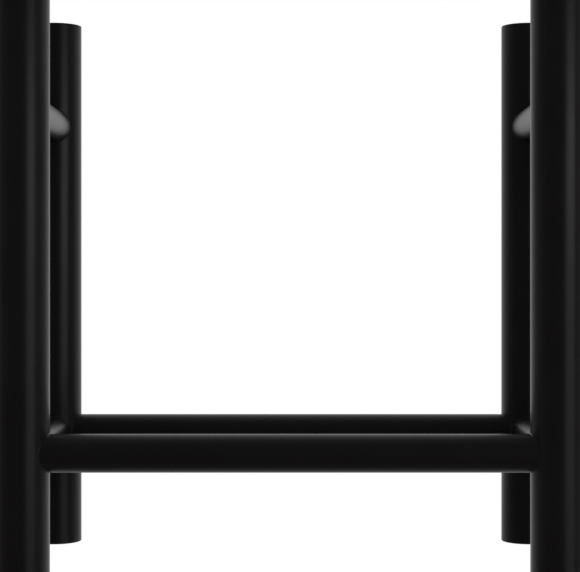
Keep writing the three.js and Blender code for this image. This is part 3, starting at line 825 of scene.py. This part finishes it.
# The power button: a dished cap, with a flange behind the wall and a stem to the switch
def addButton():
    radius, face, edge, flange, stem = pick(button, "radius face edge flange stem")
    front, back, end = pick(button, "flangeFront flangeBack stemEnd")
    rows = [(0, end), (stem, end), (stem, back), (flange, back), (flange, front), (radius, front)]
    rows += [*quarterRound(radius - edge, face - edge, edge, outwards, upwards, steps=7)]
    dish = np.linspace(button["dishRadius"], 0, button["dishRows"])
    rows += [*zip(dish, faceLevel(dish))]
    place = onHead(head["buttonLevel"])
    addLofted("powerButton", rows, evenAngles(button["sides"]), place, "room")


symbol = {
    "ringSteps": 49, "barSteps": 9,
    "radius": 1.75,     # mm, of the broken ring
    "gap": 70,          # degrees left open at its top
    "bar": (0.7, 2.5),  # mm, ends of the bar
    "width": 0.42,
    "sunk": 0.1, "height": 0.05,  # mm that it starts below the face, and stands out
}


# Direction of a path at each of its points
def headings(path):
    along = np.gradient(path, axis=0)
    return along / np.linalg.norm(along, axis=1)[:, None]


# A flat ribbon on the button's face: its section's four corners are carried along the path, and each
# end is shut with one face
def ribbon(path):
    along = headings(path)
    side = np.stack([-along[:, 1], along[:, 0]], axis=-1) * symbol["width"] / 2
    level = faceLevel(np.linalg.norm(path, axis=1))
    low, high = level - symbol["sunk"], level + symbol["height"]
    section = [(path + side, low), (path + side, high), (path - side, high), (path - side, low)]
    grid = np.stack([np.column_stack([flat, height]) for flat, height in section], axis=1)
    start, end = [0, 1, 2, 3], [4 * len(path) - corner for corner in (1, 2, 3, 4)]
    return grid.reshape(-1, 3), gridFaces(len(path), 4, closed=False) + [start, end]


# The plain sign for power, a broken ring and a bar, printed in white on the button
def addSymbol():
    gap = math.radians(symbol["gap"] / 2)
    turn = np.linspace(gap, 2 * np.pi - gap, symbol["ringSteps"])
    height = np.linspace(*symbol["bar"], symbol["barSteps"])
    arc, arcFaces = ribbon(symbol["radius"] * np.stack([np.sin(turn), np.cos(turn)], axis=-1))
    bar, barFaces = ribbon(np.stack([0 * height, height], axis=-1))
    faces = arcFaces + [[len(arc) + corner for corner in face] for face in barFaces]
    points = onFront(np.concatenate([arc, bar]), head["buttonLevel"])
    addPiece("powerSymbol", points, faces, slot="white_plastic", body="button")


spring = {
    "wire": 0.5, "wireSides": 12,
    "coil": 5.29,       # mm, radius to the middle of the wire
    "turns": 4.0,
    "deadTurns": 0.75,  # closed turns at each end
    "steps": 265,
    "ease": 25,         # steps over which the pitch changes
    "low": 11.70,       # mm from the head's axis: on the board, and under the button's flange
    "high": 17.30,
    "travel": 1.2,
}


# The button's return spring: a round wire along a helix whose pitch falls to the wire's own thickness
# in the end turns.
def addSpring():
    wire, coil, dead, ease = pick(spring, "wire coil deadTurns ease")
    low, high = spring["low"] + wire / 2, spring["high"] - wire / 2
    turns = np.linspace(0, spring["turns"] + 2 * dead, spring["steps"])
    stops = [0, dead, dead + spring["turns"], turns[-1]]
    level = np.interp(turns, stops, [low, low + dead * wire, high - dead * wire, high])
    padded = np.pad(level, ease // 2, "reflect", reflect_type="odd")
    level = np.convolve(padded, np.ones(ease) / ease, "valid")
    angle = 2 * np.pi * turns
    path = pointsOf(coil * np.sin(angle), coil * np.cos(angle), level)
    outside = pointsOf(np.sin(angle), np.cos(angle), 0)
    above = np.cross(headings(path), outside)
    about = evenAngles(spring["wireSides"])[None, :, None]
    rim = np.cos(about) * outside[:, None] + np.sin(about) * above[:, None]
    tube = path[:, None] + wire / 2 * rim
    first, last = (end[None, None].repeat(spring["wireSides"], axis=1) for end in (path[0], path[-1]))
    grid = np.concatenate([first, tube, last])
    points = onFront(grid, head["buttonLevel"])
    piece = addPiece("buttonSpring", points, gridFaces(*grid.shape[:2], closed=False))
    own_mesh(piece)


lens = {
    "sides": 64, "domeRows": 10, "radius": 2.0,
    "back": 19.6, "edge": 23.1, "crown": 23.6,  # mm from the head's axis
}


# The indicator's lens, domed: its height falls with the square of the distance from its middle
def addLens():
    radius, back, edge, crown = pick(lens, "radius back edge crown")
    share = np.linspace(1, 0, lens["domeRows"])
    dome = [(radius * s, edge + (crown - edge) * (1 - s * s)) for s in share]
    rows = [(0, back), (radius, back), *dome]
    place = onHead(head["lensLevel"])
    addLofted("indicatorLens", rows, evenAngles(lens["sides"]), place, "room")


gland = {
    "hexagon": 15.0,  # mm across its flats
    "thread": 6.0, "waist": 6.7, "dome": 6.9, "bore": 3.7,  # mm, radii
    "threadEnd": 15.5, "seat": 23.1, "hexTop": 27.1, "waistTop": 27.6,  # mm from the head's axis
    "domeBottom": 27.8, "ribBottom": 28.4, "ribTop": 33.2, "domeTop": 35.1,
    "threadEdge": 0.5, "domeEdge": 1.2, "boreEdge": 0.4,
    "ribs": 24, "ribSides": 8, "ribRows": 13,  # steps round one rib, and along it
    "ribDepth": 0.22, "ribFade": 0.8,          # mm over which a rib runs out
}


# The cable gland: a hexagon against the head, and a ribbed dome nut. The ribs are a cosine round the
# nut, and fade in and out along it.
def addGland():
    angles = evenAngles(gland["ribs"] * gland["ribSides"])
    thread, end, ease, seat, hexTop = pick(gland, "thread threadEnd threadEdge seat hexTop")
    dome, top, edge, bore, lip = pick(gland, "dome domeTop domeEdge bore boreEdge")
    waist, waistTop, low, high, fade = pick(gland, "waist waistTop ribBottom ribTop ribFade")
    hexagon = polygon(6, gland["hexagon"], angles)
    wave = gland["ribDepth"] * (1 - np.cos(gland["ribs"] * angles)) / 2
    ribbed = [(dome - wave * min(level - low, high - level, fade) / fade, level)
              for level in np.linspace(low, high, gland["ribRows"])]
    rows = [
        (bore, end), (thread - ease, end), (thread, end + ease), (thread, seat),
        *chamferedBar(hexagon, seat, hexTop), (waist, hexTop), (waist, waistTop),
        (dome, gland["domeBottom"]), *ribbed,
        *quarterRound(dome - edge, top - edge, edge, outwards, upwards, steps=9),
        *quarterRound(bore + lip, top - lip, lip, upwards, inwards, steps=5)]
    addLofted("cableGland", rows, angles, onHead(head["glandLevel"]), "wall")


addHousing()
addIndexMark()
addButton()
addSymbol()
addSpring()
addLens()
addGland()
print("control head built")


dial = {
    "radius": 23.0, "height": 17.0, "wall": 3.0, "floor": 2.5, "edge": 1.2, "rim": 0.3,
    "hub": 6.0, "bore": 3.1, "hubTop": 16.4,
    "recess": 0.4, "recessRadius": 17.5,  # mm that the middle of the underside stands back
    "flutes": 20, "fluteRadius": 2.0, "fluteDepth": 0.9,
    "fluteTop": 10.0, "fluteEnd": 1.6,    # mm over which a flute runs out
    "fluteRows": 8, "fluteSides": (10, 6),  # steps up its end, across it, and from one to the next
    "band": 22.9, "bandBottom": 10.4, "bandStep": 10.3,  # mm, the plain band that carries the numbers
    "numbers": 6, "numberStep": 54,       # degrees
    "numberSize": 5.2, "numberLevel": 13.7, "numberSteps": 6,
    "numberHeight": 0.1, "numberDepth": 0.2,  # mm that they stand out, and start below the band
}
dialPlace = onHead(boxOf("thermostat_dial")[0][2] - footLevel)


# Angles round the dial, closer together in the flutes and with one on each flute's edge, and the
# dial's radius at each. A flute is a circle of radius r with its middle at a distance c, outside the
# dial. At an angle b from it, its near side is at c cos b - the root of r squared - (c sin b) squared.
def flutes():
    radius, count, scoop, depth = pick(dial, "radius flutes fluteRadius fluteDepth")
    within, between = dial["fluteSides"]
    away, pitch = radius + scoop - depth, 2 * np.pi / count
    half = math.acos((away ** 2 + radius ** 2 - scoop ** 2) / (2 * away * radius))
    one = np.concatenate([
        np.linspace(-half, half, within, endpoint=False),
        np.linspace(half, pitch - half, between, endpoint=False)])
    angles = (one + pitch * np.arange(count)[:, None]).ravel()
    off = (angles + pitch / 2) % pitch - pitch / 2
    inside = np.maximum(scoop ** 2 - (away * np.sin(off)) ** 2, 0)
    near = np.minimum(radius, away * np.cos(off) - np.sqrt(inside))
    return angles, np.where(inside > 0, near, radius)


# The thermostat dial: a cup on a hub. Level 0 is its underside. Its flutes run out at their tops with
# the smooth step 3 s squared - 2 s cubed.
def addDial():
    angles, fluted = flutes()
    radius, height, edge, band, rim, floor = pick(dial, "radius height edge band rim floor")
    bore, hub, hubTop, sunk, recess = pick(dial, "bore hub hubTop recessRadius recess")
    inside = radius - dial["wall"]
    rows = [
        (0, floor), (bore, floor), (bore, hubTop), (hub, hubTop), (hub, floor), (inside, floor),
        (inside, height - rim), (inside + rim, height),
        *quarterRound(band - rim, height - rim, rim, upwards, outwards, steps=5),
        (band, dial["bandBottom"]), (radius, dial["bandStep"]), (radius, dial["fluteTop"])]
    for s in np.linspace(0, 1, dial["fluteRows"] + 1)[1:]:
        width = radius + (fluted - radius) * s * s * (3 - 2 * s)
        rows.append((width, dial["fluteTop"] - dial["fluteEnd"] * s))
    for width, level in quarterRound(radius - edge, edge, edge, outwards, downwards, steps=9):
        rows.append((np.minimum(fluted, width), level))
    rows += [(sunk, 0), (sunk - recess, recess), (0, recess)]
    addLofted("thermostatDial", rows, angles, dialPlace, "up")


# The numbers 0 to 5, wrapped on the band. Turning the dial brings each to the mark in turn.
def addNumbers():
    band, height, depth = pick(dial, "band numberHeight numberDepth")
    points, faces, count = [], [], 0
    for number in range(dial["numbers"]):
        text = bpy.data.curves.new("number", "FONT")
        text.body, text.size, text.extrude = str(number), dial["numberSize"], depth
        text.resolution_u = dial["numberSteps"]
        text.align_x, text.align_y = "CENTER", "CENTER"
        holder = bpy.data.objects.new("number", text)
        mesh = bpy.data.meshes.new_from_object(holder)
        flat = np.zeros(len(mesh.vertices) * 3)
        mesh.vertices.foreach_get("co", flat)
        across, up, out = flat.reshape(-1, 3).T
        turn = across / band - math.radians(number * dial["numberStep"])
        radius = band + np.where(out > 0, height, -depth)
        points.append(pointsOf(radius * np.sin(turn), -radius * np.cos(turn), up + dial["numberLevel"]))
        faces += [[count + corner for corner in face.vertices] for face in mesh.polygons]
        count += len(mesh.vertices)
        bpy.data.objects.remove(holder)
    points = np.array(dialPlace) + np.concatenate(points)
    addPiece("dialNumbers", points, faces, slot="white_plastic", body="dial")


addDial()
addNumbers()
print("dial built")

# The pieces inside keep their CAD shape and take the finish of their slot
for name, node in frame["nodes"].items():
    if not node.hide_render:
        node.data.materials.clear()
        node.data.materials.append(finishes[slotOf[name]])


studio = {
    "even": 0.95,                 # level that lights matt surfaces
    "axis": (0.084, 1.0, 0.093),  # towards the brightest part of the backdrop
    "gain": 0.695, "power": 2.49,
    "least": 0.045,               # the dark room in front
    "lampAim": (0.0, -0.2),       # m, the axis that both lamps face, level
}

# Softbox to the right of the camera, a bright strip across a wide dim panel. Places and sizes in m.
lamps = {
    "keyStrip": {"place": (1.264, -1.443, 0.25), "size": (1.0, 0.1), "radiance": 2.7},
    "keyFrame": {"place": (1.19, -1.51, -0.15), "size": (1.2, 0.9), "radiance": 0.37},
}


# Area lamps of a stated radiance: their power is radiance times area times pi
for name, panel in lamps.items():
    place, size, radiance = pick(panel, "place size radiance")
    light = bpy.data.lights.new(name, "AREA")
    light.shape = "RECTANGLE"
    light.size, light.size_y = size
    light.energy = radiance * size[0] * size[1] * math.pi
    lamp = newObject(name, light)
    lamp.location = place
    aimX, aimY = studio["lampAim"]
    towards = Vector((aimX - place[0], aimY - place[1], 0))
    lamp.rotation_mode = "QUATERNION"
    lamp.rotation_quaternion = towards.to_track_quat("-Z", "Y")


# 1 for rays of any of these kinds and 0 for the others
def forRays(tree, *kinds):
    ray = addNode(tree, "LightPath").outputs
    share = ray[kinds[0]]
    for kind in kinds[1:]:
        share = addNode(tree, "Math", {0: share, 1: ray[kind]}, operation="MAXIMUM")
    return share


# The room: the camera sees white, and matt surfaces are lit by one even level. Gloss sees a backdrop
# behind the rack that fades into a dark room: least plus gain times ((1 + d) / 2) to a power, where d
# is the cosine from the backdrop's middle.
def makeRoom():
    world = bpy.data.worlds.new("studio")
    bpy.context.scene.world = world
    world.use_nodes = True
    tree = world.node_tree
    way = addNode(tree, "TexCoord").outputs["Generated"]
    axis = Vector(studio["axis"]).normalized()
    gain, power, least = pick(studio, "gain power least")
    cosine = addNode(tree, "VectorMath", {0: way, 1: axis}, operation="DOT_PRODUCT").outputs["Value"]
    half = addNode(tree, "Math", {0: cosine, 1: 0.5, 2: 0.5}, operation="MULTIPLY_ADD")
    fade = addNode(tree, "Math", {0: half, 1: power}, operation="POWER")
    backdrop = addNode(tree, "Math", {0: fade, 1: gain, 2: least}, operation="MULTIPLY_ADD")
    gloss = forRays(tree, "Is Glossy Ray", "Is Transmission Ray")
    level = addNode(tree, "Mix", {"Factor": gloss, 2: studio["even"], 3: backdrop})
    seen = forRays(tree, "Is Camera Ray")
    shown = addNode(tree, "Mix", {"Factor": seen, 2: level, 3: 1.0})
    setInputs(tree, tree.nodes["Background"], {"Strength": shown, "Color": linear("#ffffff")})


makeRoom()


floor = {
    "level": -0.8, "radius": 2.4,       # m
    "fadeFrom": 0.9, "fadeTo": 2.352,   # m from its middle, where the paint turns into the white room
    "sides": 96, "rings": 13,
    "shades": ("#e9e7e3", "#eceae6"), "roughness": 0.9,
    "grain": 40,                        # mm, cloudiness of the paint
}


# A round painted floor below the rack. Towards its rim the camera sees it turn white, as the room is,
# and from below it isn't seen at all.
def addFloor():
    angles = evenAngles(floor["sides"])
    radii = np.linspace(0, floor["radius"], floor["rings"])[:, None]
    grid = pointsOf(radii * np.cos(angles), radii * np.sin(angles) + frontY * mm, floor["level"])
    mesh = makeMesh("floor", grid.reshape(-1, 3) / mm, gridFaces(*grid.shape[:2], closed=False))
    if mesh.polygons[0].normal.z < 0:
        mesh.flip_normals()
    mesh.shade_smooth()
    tree, shader, place = newMaterial("floor", "painted_floor_pale", Roughness=floor["roughness"])
    scale = 1 / (floor["grain"] * mm)
    dark, light = (linear(shade) for shade in floor["shades"])
    cloudy = addNode(tree, "TexNoise", {"Vector": place, "Scale": scale, "Detail": 2})
    paint = addNode(tree, "Mix", {"Factor": cloudy, 6: dark, 7: light}, data_type="RGBA")
    setInputs(tree, shader, {"Base Color": paint.outputs[2]})
    shift = (0, -frontY * mm, -floor["level"])
    centred = addNode(tree, "Mapping", {"Vector": place, "Location": shift})
    reach = addNode(tree, "VectorMath", {0: centred}, operation="LENGTH").outputs["Value"]
    fade = addNode(tree, "MapRange", {
        "Value": reach, "From Min": floor["fadeFrom"], "From Max": floor["fadeTo"]},
        interpolation_type="SMOOTHSTEP")
    seen = forRays(tree, "Is Camera Ray", "Is Glossy Ray", "Is Transmission Ray")
    share = addNode(tree, "Math", {0: fade, 1: seen}, operation="MULTIPLY")
    white = addNode(tree, "Emission", {"Color": linear("#ffffff"), "Strength": 1})
    above = addNode(tree, "MixShader", {0: share, 1: shader, 2: white})
    below = addNode(tree, "NewGeometry").outputs["Backfacing"]
    unseen = addNode(tree, "BsdfTransparent")
    shown = addNode(tree, "MixShader", {0: below, 1: above, 2: unseen})
    setInputs(tree, tree.nodes["Material Output"], {"Surface": shown})
    mesh.materials.append(finishes["floor"])
    ground = newObject("floor", mesh)
    ground.visible_glossy = False


addFloor()

camera = {
    "place": (0.00716, -1.2817, 0.00265), "clip": (0.01, 50),  # m
    "sensor": 36, "lens": 98.5,                               # mm
    "shift": (-0.0183, -0.0167),
}


# A level camera that looks straight at the wall
def addCamera():
    view = bpy.data.cameras.new("camera")
    view.sensor_width, view.lens = camera["sensor"], camera["lens"]
    view.shift_x, view.shift_y = camera["shift"]
    view.clip_start, view.clip_end = camera["clip"]
    body = newObject("camera", view)
    body.location = camera["place"]
    body.rotation_euler = (math.pi / 2, 0, 0)
    bpy.context.scene.camera = body


addCamera()
bpy.context.scene.view_settings.view_transform = "Standard"
print("studio and camera set")
